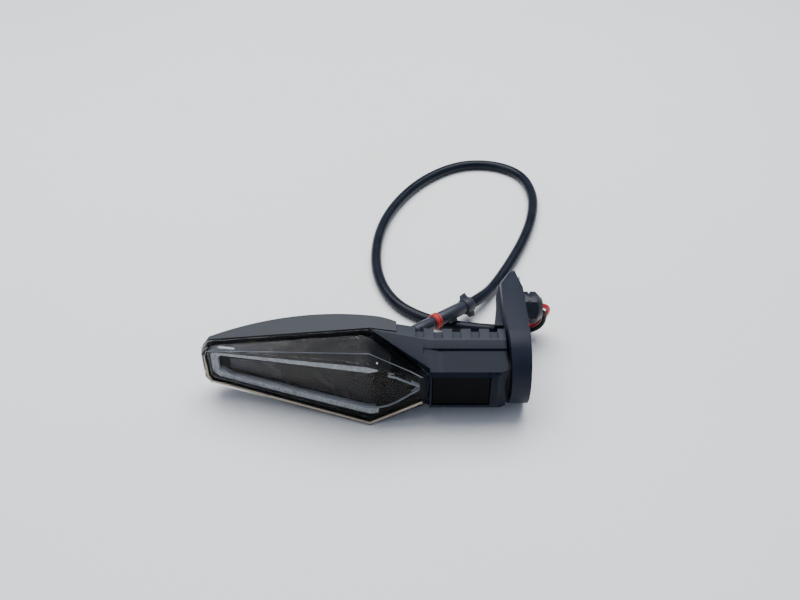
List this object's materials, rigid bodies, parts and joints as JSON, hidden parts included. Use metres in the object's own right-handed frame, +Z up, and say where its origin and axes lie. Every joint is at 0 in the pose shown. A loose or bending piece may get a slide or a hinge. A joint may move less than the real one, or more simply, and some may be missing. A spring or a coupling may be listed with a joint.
{
  "type": "motorcycle turn signal",
  "caption": "Slim LED turn signal with a tapered clear lens, rear shell, ribbed rubber neck, threaded mounting foot, and a loose lead ending in a round plug.",
  "frame": {"origin": "axis of the threaded insert, on the foot's mounting face", "axes": "+X along the insert's axis, out of the mounting face and away from the lamp; -Y the way the lens looks; +Z up as the part lies"},
  "size_m": [0.1608, 0.2073, 0.036],
  "materials": {
    "lens_clear": "clear, moulded, polished",
    "shell_grey": "fine moulded grain",
    "neck_rubber": "matte moulded rubber",
    "panel_black": "gloss",
    "foot_black": "satin moulded",
    "core_black": "as moulded",
    "guide_clear": "frosted and ribbed",
    "bezel_dark": "dark satin",
    "seal_black": "matte",
    "board_green": "solder resist",
    "led_yellow": "clear resin",
    "chip_black": "moulded",
    "steel": "zinc plated",
    "brass": "turned",
    "outlet_black": "gloss moulded",
    "grommet_black": "matte",
    "wire_red": "insulation",
    "wire_black": "insulation",
    "lead_black": "soft gloss sleeve",
    "plug_black": "satin moulded",
    "ring_red": "silicone"
  },
  "bodies": {
    "base": {"neck_core_base": "core_black", "mounting_foot": "foot_black", "foot_plate": "steel", "threaded_insert": "brass", "foot_leads": "wire_black", "outlet_body": "outlet_black", "outlet_washer": "steel", "outlet_nut": "outlet_black", "wire_grommet": "grommet_black", "wire_red": "wire_red", "wire_black": "wire_black", "lead_sleeve": "lead_black", "plug_retainer": "plug_black", "plug_housing": "plug_black", "plug_seal_ring": "ring_red", "plug_pins": "brass"},
    "lamp": {"lens": "lens_clear", "lens_seal": "seal_black", "rear_shell": "shell_grey", "bezel": "bezel_dark", "end_panel": "panel_black", "light_guide": "guide_clear", "led_board": "board_green", "leds": "led_yellow", "board_parts": "chip_black", "board_terminal": "chip_black", "board_screws": "steel", "neck_core_head": "core_black", "neck_sleeve": "neck_rubber", "front_panel": "panel_black", "neck_leads": "wire_black"}
  },
  "joints": [
    {"name": "neck_flex", "type": "hinge", "parent": "base", "child": "lamp", "pos_m": [-0.0265, -0.02, 0], "axis": [0, 0, 1], "range_deg": [-20, 20], "stiffness_Nm_per_rad": 3, "deforming": ["neck_sleeve", "front_panel", "neck_leads"]}
  ]
}
